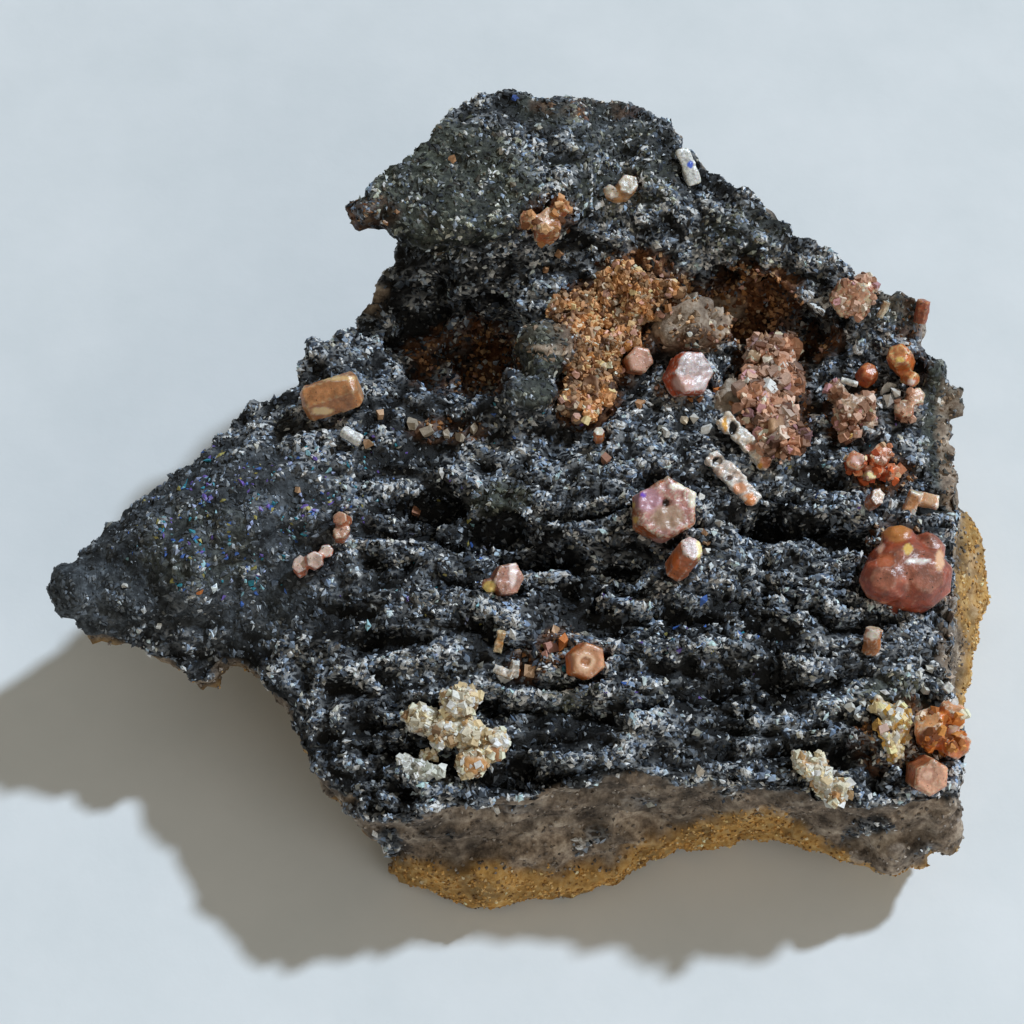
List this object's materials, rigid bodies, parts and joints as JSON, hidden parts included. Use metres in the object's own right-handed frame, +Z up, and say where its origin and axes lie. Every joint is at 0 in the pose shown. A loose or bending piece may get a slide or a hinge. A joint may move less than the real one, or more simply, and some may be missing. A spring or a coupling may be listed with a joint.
{
  "type": "vanadinite on barite specimen",
  "caption": "Ledged black-crusted barite rock with an overhanging head, a brown hollow and orange-brown six-sided vanadinite crystals set over it.",
  "frame": {"origin": "under the middle of the specimen's box, on the surface that it lies on", "axes": "+X to the specimen's right, with the pointed wing at -X, +Y towards the overhanging head and +Z up"},
  "size_m": [0.0701, 0.0615, 0.0259],
  "materials": {
    "crusted_rock": "black glinting crust on grey-brown broken rock",
    "brown_crust": "crumbly, dull",
    "vanadinite": "resinous, slightly clear",
    "pink_vanadinite": "resinous sides, frosted pink ends",
    "cream_barite": "crumbly, dull to glinting",
    "white_barite": "glassy, bright"
  },
  "bodies": {
    "root": {"barite_rock": "crusted_rock", "hollow_crust": "brown_crust", "brown_column": "brown_crust", "lying_prism": "vanadinite", "wing_crystals_upper": "vanadinite", "wing_crystals_lower": "vanadinite", "banded_hexagon": "vanadinite", "standing_prism": "vanadinite", "tiny_prism": "vanadinite", "head_crystals": "vanadinite", "shoulder_crystals": "vanadinite", "ridge_crystals": "vanadinite", "corner_crystals": "vanadinite", "orange_bead": "vanadinite", "orange_hexagon": "vanadinite", "brown_pair": "vanadinite", "red_crystals": "vanadinite", "tan_chip": "vanadinite", "tan_slabs": "vanadinite", "gold_chip": "vanadinite", "corner_mass": "vanadinite", "brown_hexagon": "vanadinite", "red_ball": "vanadinite", "leaning_plate": "pink_vanadinite", "pitted_hexagon": "pink_vanadinite", "ragged_plate": "pink_vanadinite", "small_hexagon": "pink_vanadinite", "cream_mass": "cream_barite", "cream_chip": "cream_barite", "cream_shelf": "cream_barite", "gold_crumbs": "cream_barite", "rosette": "cream_barite", "white_rod": "white_barite", "rosette_rod": "white_barite", "ridge_rod": "white_barite", "white_cube": "white_barite", "white_crumbs": "white_barite", "white_splinters": "white_barite", "gold_splinter": "white_barite", "bright_blade": "white_barite", "skeletal_plate_upper": "white_barite", "skeletal_plate_lower": "white_barite"}
  },
  "joints": []
}
